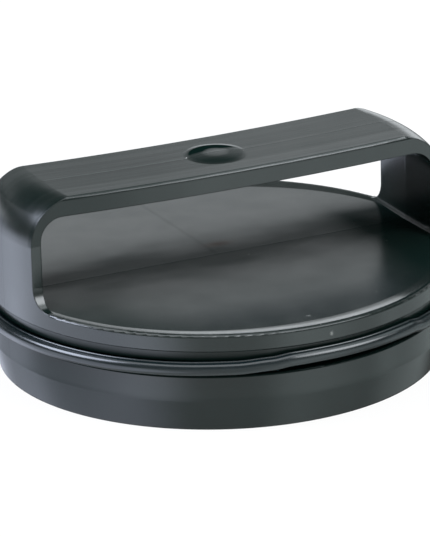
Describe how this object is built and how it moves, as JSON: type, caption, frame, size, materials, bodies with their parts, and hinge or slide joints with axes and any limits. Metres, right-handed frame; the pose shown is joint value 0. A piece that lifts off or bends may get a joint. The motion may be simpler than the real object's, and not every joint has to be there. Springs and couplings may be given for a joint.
{
  "type": "pipe end cap",
  "caption": "Push-in end cap for a drain pipe: a disc with a wide strap handle across it, a tapered skirt and a rubber sealing ring in a groove.",
  "frame": {"origin": "centre of the skirt's open lower edge, which is the base of the whole part", "axes": "+Z along the cap's axis, from the open lower edge up to the handle; +X along the handle's strap; +Y square to the strap, along the draw of the mould"},
  "size_m": [0.1664, 0.1664, 0.0715],
  "materials": {
    "cap_body": "moulded, semi-gloss black with faint draw lines",
    "sealing_ring": "smooth black rubber"
  },
  "bodies": {
    "root": {"cap_body": "cap_body", "sealing_ring": "sealing_ring"}
  },
  "joints": []
}
